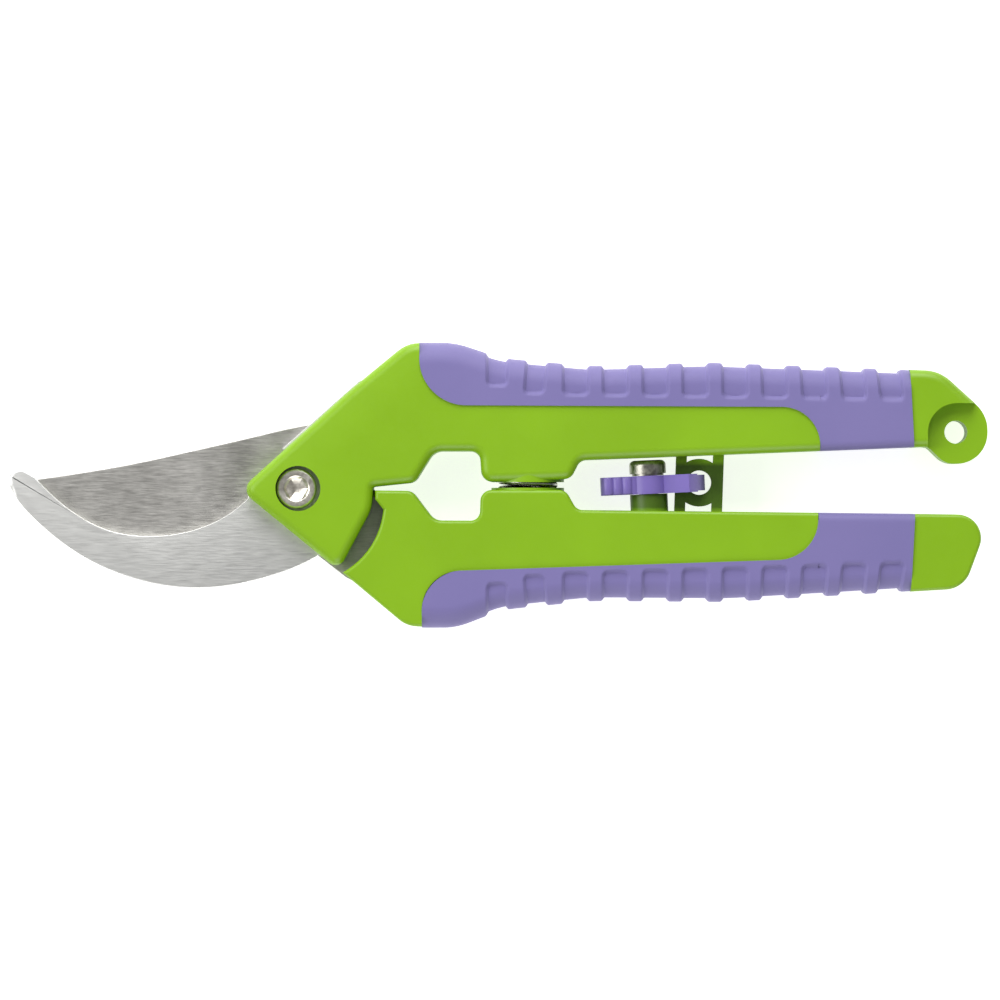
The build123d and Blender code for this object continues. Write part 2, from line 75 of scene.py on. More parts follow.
def on_pivot(x: float, y: float, z: float = 0.0) -> np.ndarray:
    """A place given in millimetres from the pivot, in the plane where the jaws meet.

    Args:
        x: millimetres from the pivot towards the handle ends.
        y: millimetres from the pivot towards the upper handle.
        z: millimetres above the plane where the jaws meet.

    Returns:
        The place in metres in the model's frame.
    """
    return PIVOT + np.array([x, y, z]) * MM


# ---- colours and nodes ---------------------------------------------------------------------
def linear(colour: str) -> tuple[float, float, float, float]:
    """Turns an sRGB hex colour into linear RGBA.

    Args:
        colour: "#rrggbb".

    Returns:
        Linear red, green, blue and an alpha of 1.
    """
    channels = [int(colour[i:i + 2], 16) / 255 for i in (1, 3, 5)]
    flat = [c / 12.92 if c <= 0.04045 else ((c + 0.055) / 1.055) ** 2.4 for c in channels]
    return (flat[0], flat[1], flat[2], 1.0)


def add_node(tree: bpy.types.NodeTree, kind: str, settings: dict | None = None,
             inputs: dict | None = None) -> bpy.types.Node:
    """Adds a shader node with its settings, socket values and links.

    Args:
        tree: the material's node tree.
        kind: the node's type name, such as "ShaderNodeTexNoise".
        settings: attributes of the node.
        inputs: socket name or number to a value, or to an output socket to link from.

    Returns:
        The new node.
    """
    node = tree.nodes.new(kind)
    for key, value in (settings or {}).items():
        setattr(node, key, value)
    for key, value in (inputs or {}).items():
        if isinstance(value, bpy.types.NodeSocket):
            tree.links.new(value, node.inputs[key])
        else:
            node.inputs[key].default_value = value
    return node


def new_material(name: str) -> tuple[bpy.types.Material, bpy.types.NodeTree]:
    """Makes an empty node material.

    Args:
        name: the material's name.

    Returns:
        The material and its node tree.
    """
    material = bpy.data.materials.new(name)
    material.use_nodes = True
    material.node_tree.nodes.clear()
    return material, material.node_tree


def ramp(tree: bpy.types.NodeTree, factor: bpy.types.NodeSocket,
         stops: list[tuple[float, str]]) -> bpy.types.NodeSocket:
    """Adds a colour ramp.

    Args:
        tree: the material's node tree.
        factor: the value that the ramp reads.
        stops: positions and hex colours, at least two, in order.

    Returns:
        The ramp's colour output.
    """
    node = add_node(tree, "ShaderNodeValToRGB", inputs={0: factor})
    while len(node.color_ramp.elements) < len(stops):
        node.color_ramp.elements.new(0.5)
    for element, (position, colour) in zip(node.color_ramp.elements, stops):
        element.position = position
        element.color = linear(colour)
    return node.outputs[0]


# ---- finishes ------------------------------------------------------------------------------
@dataclass(frozen=True)
class MouldedPlastic:
    """Injection-moulded plastic or rubber: an even colour with faint flow, and a fine skin.

    The eye reads it by a soft sheen, a colour that drifts a little over centimetres, and the
    spark texture of the mould, which is drawn coarser than life so that it shows.
    """

    name: str
    colour: str
    drift: str
    roughness: float
    grain: float
    grain_depth: float
    ior: float = 1.5
    sheen: float = 0.0

    def build(self) -> bpy.types.Material:
        """Makes the material.

        Returns:
            The material.
        """
        material, tree = new_material(self.name)
        place = add_node(tree, "ShaderNodeTexCoord").outputs["Object"]
        flow = add_node(tree, "ShaderNodeTexNoise", inputs={
            "Vector": place, "Scale": 45.0, "Detail": 3.0, "Roughness": 0.5})
        colour = self.tint(tree, place, ramp(
            tree, flow.outputs[0], [(0.3, self.drift), (0.7, self.colour)]))
        skin = add_node(tree, "ShaderNodeTexNoise", inputs={
            "Vector": place, "Scale": 1.0 / self.grain, "Detail": 2.0, "Roughness": 0.55})
        gloss = add_node(tree, "ShaderNodeMapRange", inputs={
            "Value": skin.outputs[0], "From Min": 0.3, "From Max": 0.7,
            "To Min": self.roughness - 0.05, "To Max": self.roughness + 0.07})
        bump = add_node(tree, "ShaderNodeBump", inputs={
            "Height": skin.outputs[0], "Distance": self.grain_depth, "Strength": 0.6})
        self.crown(tree, place, bump)
        shader = add_node(tree, "ShaderNodeBsdfPrincipled", inputs={
            "Base Color": colour, "Roughness": gloss.outputs[0], "IOR": self.ior,
            "Normal": bump.outputs[0], "Sheen Weight": self.sheen, "Sheen Roughness": 0.5})
        add_node(tree, "ShaderNodeOutputMaterial", inputs={"Surface": shader.outputs[0]})
        return material

    def tint(self, tree: bpy.types.NodeTree, place: bpy.types.NodeSocket,
             colour: bpy.types.NodeSocket) -> bpy.types.NodeSocket:
        """Changes the colour in places; plain plastic stays as it is.

        Args:
            tree: the material's node tree.
            place: the object coordinates.
            colour: the colour before the change.

        Returns:
            The colour to use.
        """
        return colour

    def crown(self, tree: bpy.types.NodeTree, place: bpy.types.NodeSocket,
              bump: bpy.types.Node) -> None:
        """Adds a slow curve under the skin; plain plastic has none.

        Args:
            tree: the material's node tree.
            place: the object coordinates.
            bump: the skin's bump node, whose normal input takes the curve.
        """


@dataclass(frozen=True)
class HandleNylon(MouldedPlastic):
    """The handles' nylon: their heads are crowned, falling away to the outer edges.

    Each line is the outer edge of a head, by a point in millimetres from the pivot and the
    angle of the inward direction. The height rises over the width as 1 less the square of
    the share still to go.
    """

    lines: tuple[tuple[float, float, float], ...] = ()
    width: float = 9.0 * MM
    height: float = 0.55 * MM
    # painted shade: a dark green laid on the nylon round the latch, where the handles shade it; the
    # box's middle, half sizes and fade follow
    painted_shade: str = "#3F5A12"
    painted_shade_middle: tuple[float, float, float] = (75.0, 0.4, 0.0)
    painted_shade_half: tuple[float, float, float] = (12.5, 4.2, 8.0)
    painted_shade_fade: float = 1.0 * MM

    def tint(self, tree: bpy.types.NodeTree, place: bpy.types.NodeSocket,
             colour: bpy.types.NodeSocket) -> bpy.types.NodeSocket:
        """Paints shade on the nylon round the latch, which lies low between the handles.

        The share of painted shade is 1 inside a box and falls to 0 over the fade distance outside
        it.

        Args:
            tree: the material's node tree.
            place: the object coordinates.
            colour: the colour before the change.

        Returns:
            The mixed colour.
        """
        away = add_node(tree, "ShaderNodeVectorMath", {"operation": "SUBTRACT"}, {
            0: place, 1: tuple(float(v) for v in on_pivot(*self.painted_shade_middle))})
        size = add_node(tree, "ShaderNodeVectorMath", {"operation": "ABSOLUTE"}, {
            0: away.outputs[0]})
        past = add_node(tree, "ShaderNodeVectorMath", {"operation": "SUBTRACT"}, {
            0: size.outputs[0], 1: tuple(half * MM for half in self.painted_shade_half)})
        outside = add_node(tree, "ShaderNodeVectorMath", {"operation": "MAXIMUM"}, {
            0: past.outputs[0], 1: (0.0, 0.0, 0.0)})
        distance = add_node(tree, "ShaderNodeVectorMath", {"operation": "LENGTH"}, {
            0: outside.outputs[0]})
        share = add_node(tree, "ShaderNodeMapRange", inputs={
            "Value": distance.outputs["Value"], "From Min": 0.0, "From Max": self.painted_shade_fade,
            "To Min": 0.9, "To Max": 0.0})
        mixed = add_node(tree, "ShaderNodeMix", {"data_type": "RGBA"}, {
            0: share.outputs[0], 6: colour, 7: linear(self.painted_shade)})
        return mixed.outputs[2]

    def crown(self, tree: bpy.types.NodeTree, place: bpy.types.NodeSocket,
              bump: bpy.types.Node) -> None:
        """Adds the crown along each line.

        Args:
            tree: the material's node tree.
            place: the object coordinates.
            bump: the skin's bump node, whose normal input takes the curve.
        """
        for x, y, angle in self.lines:
            away = (math.cos(math.radians(angle)), math.sin(math.radians(angle)), 0.0)
            start = on_pivot(x, y)
            along = add_node(tree, "ShaderNodeVectorMath", {"operation": "DOT_PRODUCT"}, {
                0: place, 1: away})
            left = add_node(tree, "ShaderNodeMapRange", inputs={
                "Value": along.outputs["Value"], "From Min": float(start @ away),
                "From Max": float(start @ away) + self.width, "To Min": 1.0, "To Max": 0.0})
            square = add_node(tree, "ShaderNodeMath", {"operation": "POWER"}, {
                0: left.outputs[0], 1: 2.0})
            curve = add_node(tree, "ShaderNodeBump", {"invert": True}, {
                "Height": square.outputs[0], "Distance": self.height, "Strength": 1.0})
            if bump.inputs["Normal"].is_linked:
                tree.links.new(bump.inputs["Normal"].links[0].from_socket,
                               curve.inputs["Normal"])
            tree.links.new(curve.outputs[0], bump.inputs["Normal"])


@dataclass(frozen=True)
class GroundSteel:
    """Hardened steel ground on a belt: fine parallel lines, cloudy sheen.

    The lines run along one direction in the plate's plane; grit of about 0.1 mm is drawn at
    the spacing given so that the lines show.
    """

    name: str
    light: str
    dark: str
    roughness: float
    line_angle: float
    line_spacing: float
    line_length: float
    streak: float
    tone: float = 0.0
    tone_line: tuple[float, float, float] = (0.0, 0.0, 90.0)
    tone_width: float = 10.0 * MM

    def build(self) -> bpy.types.Material:
        """Makes the material.

        Returns:
            The material.
        """
        material, tree = new_material(self.name)
        place = add_node(tree, "ShaderNodeTexCoord").outputs["Object"]
        turned = add_node(tree, "ShaderNodeMapping", inputs={
            "Vector": place, "Rotation": (0.0, 0.0, -self.line_angle),
            "Scale": (1.0 / self.line_length, 1.0 / self.line_spacing, 200.0)})
        lines = add_node(tree, "ShaderNodeTexNoise", inputs={
            "Vector": turned.outputs[0], "Scale": 1.0, "Detail": 4.0, "Roughness": 0.65})
        cloud = add_node(tree, "ShaderNodeTexNoise", inputs={
            "Vector": place, "Scale": 60.0, "Detail": 4.0, "Roughness": 0.6})
        mixed = add_node(tree, "ShaderNodeMath", {"operation": "MULTIPLY_ADD"}, {
            0: lines.outputs[0], 1: self.streak, 2: cloud.outputs[0]})
        x, y, angle = self.tone_line
        away = (math.cos(math.radians(angle)), math.sin(math.radians(angle)), 0.0)
        along = add_node(tree, "ShaderNodeVectorMath", {"operation": "DOT_PRODUCT"}, {
            0: place, 1: away})
        start = float(on_pivot(x, y) @ away)
        drop = add_node(tree, "ShaderNodeMapRange", inputs={
            "Value": along.outputs["Value"], "From Min": start,
            "From Max": start + self.tone_width, "To Min": 0.0, "To Max": -self.tone})
        toned = add_node(tree, "ShaderNodeMath", {"operation": "ADD"}, {
            0: mixed.outputs[0], 1: drop.outputs[0]})
        colour = ramp(tree, toned.outputs[0], [
            (0.5 * (1 + self.streak) - 0.32, self.dark),
            (0.5 * (1 + self.streak) + 0.12, self.light)])
        gloss = add_node(tree, "ShaderNodeMapRange", inputs={
            "Value": lines.outputs[0], "From Min": 0.3, "From Max": 0.7,
            "To Min": self.roughness - 0.06, "To Max": self.roughness + 0.08})
        bump = add_node(tree, "ShaderNodeBump", inputs={
            "Height": lines.outputs[0], "Distance": 0.00001, "Strength": 0.5})
        shader = add_node(tree, "ShaderNodeBsdfPrincipled", inputs={
            "Base Color": colour, "Metallic": 1.0, "Roughness": gloss.outputs[0],
            "Normal": bump.outputs[0]})
        add_node(tree, "ShaderNodeOutputMaterial", inputs={"Surface": shader.outputs[0]})
        return material


@dataclass(frozen=True)
class PlatedSteel:
    """Small steel hardware, nickel or zinc plated: bright, a little cloudy, no grain."""

    name: str
    light: str
    dark: str
    roughness: float

    def build(self) -> bpy.types.Material:
        """Makes the material.

        Returns:
            The material.
        """
        material, tree = new_material(self.name)
        place = add_node(tree, "ShaderNodeTexCoord").outputs["Object"]
        cloud = add_node(tree, "ShaderNodeTexNoise", inputs={
            "Vector": place, "Scale": 900.0, "Detail": 4.0, "Roughness": 0.6})
        colour = ramp(tree, cloud.outputs[0], [(0.35, self.dark), (0.65, self.light)])
        gloss = add_node(tree, "ShaderNodeMapRange", inputs={
            "Value": cloud.outputs[0], "From Min": 0.3, "From Max": 0.7,
            "To Min": self.roughness - 0.05, "To Max": self.roughness + 0.1})
        bump = add_node(tree, "ShaderNodeBump", inputs={
            "Height": cloud.outputs[0], "Distance": 0.00003, "Strength": 0.5})
        shader = add_node(tree, "ShaderNodeBsdfPrincipled", inputs={
            "Base Color": colour, "Metallic": 1.0, "Roughness": gloss.outputs[0],
            "Normal": bump.outputs[0]})
        add_node(tree, "ShaderNodeOutputMaterial", inputs={"Surface": shader.outputs[0]})
        return material


class Finish(Enum):
    """The finishes of the pruner's pieces."""

    GREEN_NYLON = HandleNylon("glass_filled_nylon_green", "#84B30C", "#7EAB08", 0.42,
                              0.00035, 0.00002,
                              lines=((-11.5, -0.3, -47.7), (9.7, -17.2, 49.7)))
    LILAC_RUBBER = MouldedPlastic("tpr_rubber_lilac", "#786FA6", "#736BA2", 0.62,
                                  0.00030, 0.00003, 1.48, 0.25)
    LILAC_NYLON = MouldedPlastic("moulded_nylon_lilac", "#8170BC", "#7B69B6", 0.38,
                                 0.00040, 0.00001)
    NATURAL_NYLON = MouldedPlastic("natural_nylon", "#D8D6CC", "#CFCDC2", 0.4,
                                   0.0004, 0.00001)
    HOOK_STEEL = GroundSteel("satin_ground_steel", "#EDEDEA", "#DEDEDB", 0.46,
                             -0.12, 0.00022, 0.0035, 0.35)
    BLADE_STEEL = GroundSteel("belt_ground_blade_steel", "#E0DED9", "#9D9B96", 0.44,
                              1.15, 0.00018, 0.0028, 0.4, 0.10, (-30.0, -3.0, 60.0))
    NICKEL = PlatedSteel("nickel_plated_steel", "#FAF5EB", "#DAD4C8", 0.34)
    ZINC = PlatedSteel("zinc_plated_steel", "#C9C7BC", "#96948A", 0.34)
    SPRING_WIRE = PlatedSteel("plated_spring_wire", "#D6D4CE", "#A8A6A0", 0.25)

    def material(self) -> bpy.types.Material:
        """Gives the finish's material, made once.

        Returns:
            The material.
        """
        found = bpy.data.materials.get(self.value.name)
        return found or self.value.build()


# ---- meshes --------------------------------------------------------------------------------
def make_object(name: str, points: np.ndarray, faces: list, finish: Finish,
                sharp_degrees: float = 32.0) -> bpy.types.Object:
    """Makes a mesh object at the origin, smooth except over sharp edges.

    Args:
        name: the object's name.
        points: an array of places, one row a vertex.
        faces: vertex numbers of each face, anticlockwise from outside.
        finish: what it is made of.
        sharp_degrees: edges that turn by more than this stay sharp.

    Returns:
        The object, linked to the scene.
    """
    mesh = bpy.data.meshes.new(name)
    mesh.from_pydata(points.reshape(-1, 3).tolist(), [], faces)
    mesh.validate()
    mesh.polygons.foreach_set("use_smooth", np.ones(len(mesh.polygons), bool))
    mesh.set_sharp_from_angle(angle=math.radians(sharp_degrees))
    mesh.materials.append(finish.material())
    thing = bpy.data.objects.new(name, mesh)
    bpy.context.scene.collection.objects.link(thing)
    return thing


def ring_faces(rings: int, count: int, first_cap: bool = True, last_cap: bool = True) -> list:
    """Numbers the quads between closed rings of points, and the caps at both ends.

    Args:
        rings: how many rings.
        count: points in each ring.
        first_cap: close the first ring with one face.
        last_cap: close the last ring with one face.

    Returns:
        Faces for rings that run anticlockwise seen from the last ring's side.
    """
    start = np.arange(rings - 1)[:, None] * count
    along = np.arange(count)[None, :]
    after = (along + 1) % count
    quads = np.stack([start + along, start + after, start + count + after,
                      start + count + along], axis=-1).reshape(-1, 4).tolist()
    if first_cap:
        quads.append(np.arange(count)[::-1].tolist())
    if last_cap:
        quads.append((np.arange(count) + (rings - 1) * count).tolist())
    return quads


def front_loop(node: str, step: float) -> np.ndarray:
    """Reads the outline of a plate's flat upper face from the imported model.

    The edges that only one upward-facing triangle uses are chained into loops; the longest is
    the outline, and it is divided again at an even step.

    Args:
        node: the plate's node.
        step: the distance between the new points.

    Returns:
        Points in the plane, anticlockwise.
    """
    mesh = frame["nodes"][node].data
    mesh.calc_loop_triangles()
    places = np.empty(len(mesh.vertices) * 3)
    mesh.vertices.foreach_get("co", places)
    places = places.reshape(-1, 3)
    corners = np.empty(len(mesh.loop_triangles) * 3, int)
    mesh.loop_triangles.foreach_get("vertices", corners)
    corners = corners.reshape(-1, 3)
    top = places[:, 2].max() - 1e-6
    flat = corners[(places[corners][:, :, 2] > top).all(axis=1)]
    keys = np.round(places[:, :2] * 1e7).astype(np.int64)
    _, same = np.unique(keys, axis=0, return_inverse=True)
    same = same.reshape(-1)
    spots = np.zeros((same.max() + 1, 2))
    spots[same] = places[:, :2]
    ends = same[flat]
    edges = np.concatenate([ends[:, [0, 1]], ends[:, [1, 2]], ends[:, [2, 0]]])
    known = {(a, b) for a, b in edges.tolist()}
    following = {a: b for a, b in known if (b, a) not in known}
    loops = []
    while following:
        first, here = following.popitem()
        loop = [first]
        while here != first:
            loop.append(here)
            here = following.pop(here)
        loops.append(spots[loop])
    longest = max(loops, key=lambda loop: np.linalg.norm(np.diff(loop, axis=0), axis=1).sum())
    return even_steps(longest, step)


def even_steps(loop: np.ndarray, step: float) -> np.ndarray:
    """Divides a closed outline again at an even step.

    Args:
        loop: corners in order.
        step: the distance between the new points.

    Returns:
        The new points.
    """
    closed = np.vstack([loop, loop[:1]])
    length = np.concatenate([[0], np.cumsum(np.linalg.norm(np.diff(closed, axis=0), axis=1))])
    count = int(round(length[-1] / step))
    wanted = np.linspace(0, length[-1], count, endpoint=False)
    return np.stack([np.interp(wanted, length, closed[:, i]) for i in (0, 1)], axis=1)


def inset(loop: np.ndarray, depth: np.ndarray | float) -> np.ndarray:
    """Moves each point of an anticlockwise outline inwards, square to the outline.

    Args:
        loop: points in the plane.
        depth: how far, one number or one for each point.

    Returns:
        The moved points.
    """
    along = np.roll(loop, -1, axis=0) - np.roll(loop, 1, axis=0)
    inward = np.stack([-along[:, 1], along[:, 0]], axis=1)
    inward /= np.linalg.norm(inward, axis=1, keepdims=True)
    return loop + inward * np.broadcast_to(depth, len(loop))[:, None]


def smooth_step(value: np.ndarray, low: float, high: float) -> np.ndarray:
    """Goes from 0 at low to 1 at high with level ends: three squares less two cubes.

    Args:
        value: what is compared.
        low: where the step starts.
        high: where the step ends.

    Returns:
        0 below low, 1 above high and a smooth cubic between.
    """
    t = np.clip((value - low) / (high - low), 0.0, 1.0)
    return t * t * (3 - 2 * t)


def blur_round(values: np.ndarray, reach: int) -> np.ndarray:
    """Averages each value of a closed row with its neighbours up to a reach either way.

    Args:
        values: one number for each point of a closed loop.
        reach: points averaged either way.

    Returns:
        The averaged values.
    """
    total = sum(np.roll(values, shift) for shift in range(-reach, reach + 1))
    return total / (2 * reach + 1)


# ---- jaws ----------------------------------------------------------------------------------
@dataclass
class Jaws:
    """The two steel plates: a hook in front and a cutting blade behind it."""

    step: float = 0.35 * MM
    thickness: float = 3.0 * MM
    gap: float = 0.03 * MM
    bevel: float = 5.2 * MM
    edge_land: float = 0.25 * MM
    corner: float = 0.12 * MM
    outer_round: float = 0.2 * MM
    tip_round: float = 0.9 * MM
    hollow_power: float = 1.35

    def build(self) -> list[bpy.types.Object]:
        """Builds both plates and names what they replace.

        Returns:
            The hook and the cutting plate.
        """
        hook = self.hook()
        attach(hook, "upper")
        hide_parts("counter_blade")
        blade = self.blade()
        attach(blade, "lower")
        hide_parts("cutting_blade")
        return [hook, blade]

    def hook(self) -> bpy.types.Object:
        """Builds the hook plate: its outline carried up through a rounded edge profile.

        Returns:
            The plate.
        """
        loop = front_loop("counter_blade", self.step)
        low = PIVOT[2] + self.gap
        high = low + self.thickness
        x, y = ((loop - PIVOT[:2]) / MM).T
        free = smooth_step(-x, -2.0, 6.0)
        outer = free * smooth_step(-y - self.inner_line(x), -1.0, 1.0)
        tip = smooth_step(-x, 56.6, 58.2) * smooth_step(y, -2.5, -0.5)
        soft = self.corner + (blur_round(outer, 6) * self.outer_round
                              + blur_round(tip, 3) * self.tip_round)
        turn = np.linspace(0, np.pi / 2, 6)
        rings = [np.column_stack([inset(loop, self.corner), np.full(len(loop), low)]),
                 np.column_stack([loop, np.full(len(loop), low + self.corner)])]
        for angle in turn:
            flat = inset(loop, soft * (1 - np.cos(angle)))
            rings.append(np.column_stack([flat, high - soft * 0.8 * (1 - np.sin(angle))]))
        return make_object("hook_jaw", np.array(rings), ring_faces(len(rings), len(loop)),
                           Finish.HOOK_STEEL)

    @staticmethod
    def inner_line(x: np.ndarray) -> np.ndarray:
        """Depth below the pivot line that parts the hook's outer edge from its inner one.

        Args:
            x: millimetres from the pivot along X.

        Returns:
            Millimetres below the pivot line.
        """
        return 13.5 - ((x + 25.0) / 12.0) ** 2 * 1.4

    def blade(self) -> bpy.types.Object:
        """Builds the cutting plate: flat in front, hollow ground behind down to its edge.

        Returns:
            The plate.
        """
        loop = front_loop("cutting_blade", self.step)
        high = PIVOT[2] - self.gap
        x, y = ((loop - PIVOT[:2]) / MM).T
        spine = 13.0 + 0.235 * x
        keen = smooth_step(spine - y, 1.5, 5.0) * smooth_step(-x, 6.0, 12.0)
        keen = blur_round(keen, 5)
        room = smooth_step(x, -55.0, -38.0)
        width = self.corner + keen * room * (self.bevel - self.corner)
        low = high - self.thickness
        start = high - self.corner - (self.thickness - 2 * self.corner) * (1 - keen)
        start = start - keen * (self.edge_land - self.corner)
        rings = []
        for share in np.linspace(1, 0, 9):
            hollow = share ** self.hollow_power
            flat = inset(loop, width * share)
            rings.append(np.column_stack([flat, start + (low - start) * hollow]))
        rings.append(np.column_stack([loop, np.full(len(loop), high - self.corner)]))
        rings.append(np.column_stack([inset(loop, self.corner), np.full(len(loop), high)]))
        return make_object("cutting_jaw", np.array(rings), ring_faces(len(rings), len(loop)),
                           Finish.BLADE_STEEL)


# ---- grips ---------------------------------------------------------------------------------
@dataclass
class Grip:
    """One rubber grip: ribs and windows on the palm side, moulded round a nylon core."""

    name: str
    body: str
    side: int
    palm: list[tuple[float, float]]
    finger: list[tuple[float, float]]
    edge: float
    edge_slope: float
    start: float
    wrap: float
    first_ends: tuple[float, float]
    window_near: float
    window_far: float
    end: float = 126.16
    half: float = 8.0
    palm_r: float = 4.5
    finger_r: float = 1.6
    start_r: float = 9.5
    wrap_r: float = 8.9
    wall: float = 1.6
    rib_depth: float = 0.75
    first_window: float = 56.95
    pitch: float = 8.12
    width: float = 4.7
    across: int = 150
    end_lean: float = 0.0533
    window_corner: float = 0.9
    rim_power: float = 1.6

    def windows(self) -> list[tuple[float, float, float, float]]:
        """Lists each window's middle, width, inner end and lean outwards along X.

        Returns:
            The windows from the jaws' end to the handle's.
        """
        cells = [(40.95, 3.7, self.first_ends[0], 0.0), (48.45, 3.7, self.first_ends[1], 0.09)]
        for number in range(9):
            share = number / 8
            end = self.window_near + (self.window_far - self.window_near) * share
            lean = -0.0875 * max(0.0, 2 * share - 1)
            cells.append((self.first_window + number * self.pitch, self.width, end, lean))
        return cells

    def columns(self) -> np.ndarray:
        """Stations along the grip, close together at window sides and at the wrap.

        Returns:
            Stations in millimetres from the pivot, rising.
        """
        near = np.linspace(-0.75, 0.35, 9)
        spots = [np.arange(self.start, self.end, 0.9), np.array([self.end])]
        for x, width, _, lean in self.windows():
            shift = np.linspace(0, lean * 6.0, 1 + int(abs(lean) * 60))
            for side in (-1, 1):
                spots.append((x + side * (width / 2 - near)[:, None] + shift).ravel())
        spots.append(self.start + self.start_r * (1 - np.cos(np.linspace(0, np.pi / 2, 24))))
        spots.append(self.wrap - self.wrap_r * (1 - np.sin(np.linspace(0, np.pi / 2, 30))))
        spots.append(self.wrap + np.linspace(0, 0.12, 16))
        every = np.unique(np.round(np.concatenate(spots), 4))
        keep = np.concatenate([[True], np.diff(every) > 0.004])
        every = every[keep]
        return every[(every >= self.start) & (every <= self.end)]

    def edge_line(self, x: np.ndarray) -> np.ndarray:
        """Height of the rubber's edge on the faces: level, with a quarter circle at each end.

        Args:
            x: stations along the grip in millimetres.

        Returns:
            Height at each station, counted outwards.
        """
        level = self.side * (self.edge + self.edge_slope * (x - self.start))
        left = np.clip((self.start + self.start_r - x) / self.start_r, 0, 1)
        rise = self.start_r * (1 - np.sqrt(1 - left ** 2))
        right = np.clip((x - self.wrap + self.wrap_r) / self.wrap_r, 0, 1)
        fall = self.wrap_r * (1 - np.sqrt(1 - right ** 2))
        return level + rise - fall

    def surface(self, inward: float) -> np.ndarray:
        """Works out the grip's skin, or the same skin set inwards.

        Each station's section is a rounded rectangle: finger side, finger corner, face, palm
        corner, palm side, and the same again mirrored behind. A row of points starts at the
        rubber's edge on the front face, goes round the palm side and ends at its edge behind.
        Past the wrap it starts and ends in the middle of the finger side. Windows sink it.

        Args:
            inward: how far the skin is set in, in millimetres.

        Returns:
            Stations by points by three, in metres.
        """
        x = self.columns()
        outer = self.side * np.interp(x, *np.array(self.palm).T)
        inner = self.side * np.interp(x, *np.array(self.finger).T)
        outer = smooth_line(x, outer)
        half = self.half
        finger_r, palm_r = self.finger_r, self.palm_r
        wall = half - finger_r
        bend = np.pi / 2 * finger_r
        face = (outer - palm_r) - (inner + finger_r)
        palm_bend = np.pi / 2 * palm_r
        side_run = half - palm_r
        lengths = wall + bend + face + palm_bend + side_run
        edge = np.maximum(self.edge_line(x), inner + finger_r)
        edge = np.minimum(edge, outer - palm_r * 0.35)
        begin = wall + bend + np.minimum(edge - inner - finger_r, face)
        past = np.maximum(edge - (outer - palm_r), 0)
        begin = begin + palm_r * np.arcsin(np.clip(past / palm_r, 0, 1))
        begin = begin * (1 - smooth_step(x, self.wrap, self.wrap + 0.12))
        share = np.linspace(0, 1, self.across // 2 + 1)
        run = begin[:, None] + (lengths - begin)[:, None] * share[None, :]
        y, z, ny, nz = section(run, inner[:, None], outer[:, None], half, finger_r, palm_r)
        depth = self.sink(x[:, None], y) if inward == 0 else inward
        y = y - ny * depth
        z = z - nz * depth
        y = np.concatenate([y, y[:, -2::-1]], axis=1)
        z = np.concatenate([z, -z[:, -2::-1]], axis=1)
        back = np.clip((x - self.wrap - 8.0) / (self.end - self.wrap - 8.0), 0, 1)
        x = x[:, None] - back[:, None] * self.end_lean * (y - 4.0)
        grid = np.stack([x, self.side * y, z], axis=-1)
        return PIVOT + grid * MM

    def sink(self, x: np.ndarray, y: np.ndarray) -> np.ndarray:
        """Depth of the windows: a box in X by the way past each window's end, soft at its rim.

        Args:
            x: station of each point.
            y: height of each point.

        Returns:
            How far each point is set in, in millimetres.
        """
        total = np.zeros_like(y)
        corner = self.window_corner
        for middle, width, end, lean in self.windows():
            out = y - self.side * end
            dx = np.maximum(np.abs(x - middle - lean * out) - (width / 2 - corner), 0)
            dy = np.maximum(corner - out, 0)
            inside = corner - np.hypot(dx, dy)
            share = np.clip((inside + 0.62) / 0.72, 0, 1)
            total = np.maximum(total, share ** self.rim_power)
        return total * self.rib_depth

    def build(self) -> bpy.types.Object:
        """Joins the outer and the inner skin along their edges into one closed shell.

        Returns:
            The grip.
        """
        outer, inner = self.surface(0.0), self.surface(self.wall)
        stations, across = outer.shape[:2]
        closed = self.columns() > self.wrap + 0.119
        number = np.arange(stations * across).reshape(stations, across)
        number[closed, -1] = number[closed, 0]
        quad = np.stack([number[:-1, :-1], number[:-1, 1:], number[1:, 1:], number[1:, :-1]],
                        axis=-1).reshape(-1, 4)
        shift = stations * across
        faces = [quad, quad[:, ::-1] + shift]
        for row, flip in ((0, False), (stations - 1, True)):
            a, b = number[row, :-1], number[row, 1:]
            strip = np.stack([a, a + shift, b + shift, b], axis=-1)
            faces.append(strip[:, ::-1] if flip else strip)
        open_rows = np.nonzero(~closed)[0]
        lower, upper = open_rows, np.minimum(open_rows + 1, stations - 1)
        for column, flip in ((0, True), (across - 1, False)):
            a, b = number[lower, column], number[upper, column]
            strip = np.stack([a, a + shift, b + shift, b], axis=-1)
            faces.append(strip[:, ::-1] if flip else strip)
        faces = np.concatenate(faces)
        if self.side > 0:
            faces = faces[:, ::-1]
        points = np.concatenate([outer.reshape(-1, 3), inner.reshape(-1, 3)])
        used, order = np.unique(faces, return_inverse=True)
        grip = make_object(self.name, points[used], order.reshape(-1, 4).tolist(),
                           Finish.LILAC_RUBBER, 40)
        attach(grip, self.body)
        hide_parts(self.name.replace("_rubber", "_handle_grip"))
        return grip


def smooth_line(x: np.ndarray, values: np.ndarray, reach: float = 2.5) -> np.ndarray:
    """Rounds the corners of a line of straight runs by averaging over a reach either way.

    Args:
        x: stations along the line.
        values: the line's height at each.
        reach: distance averaged either way.

    Returns:
        The rounded heights.
    """
    offsets = np.linspace(-reach, reach, 21)
    spread = [np.interp(x + offset, x, values) for offset in offsets]
    return np.mean(spread, axis=0)


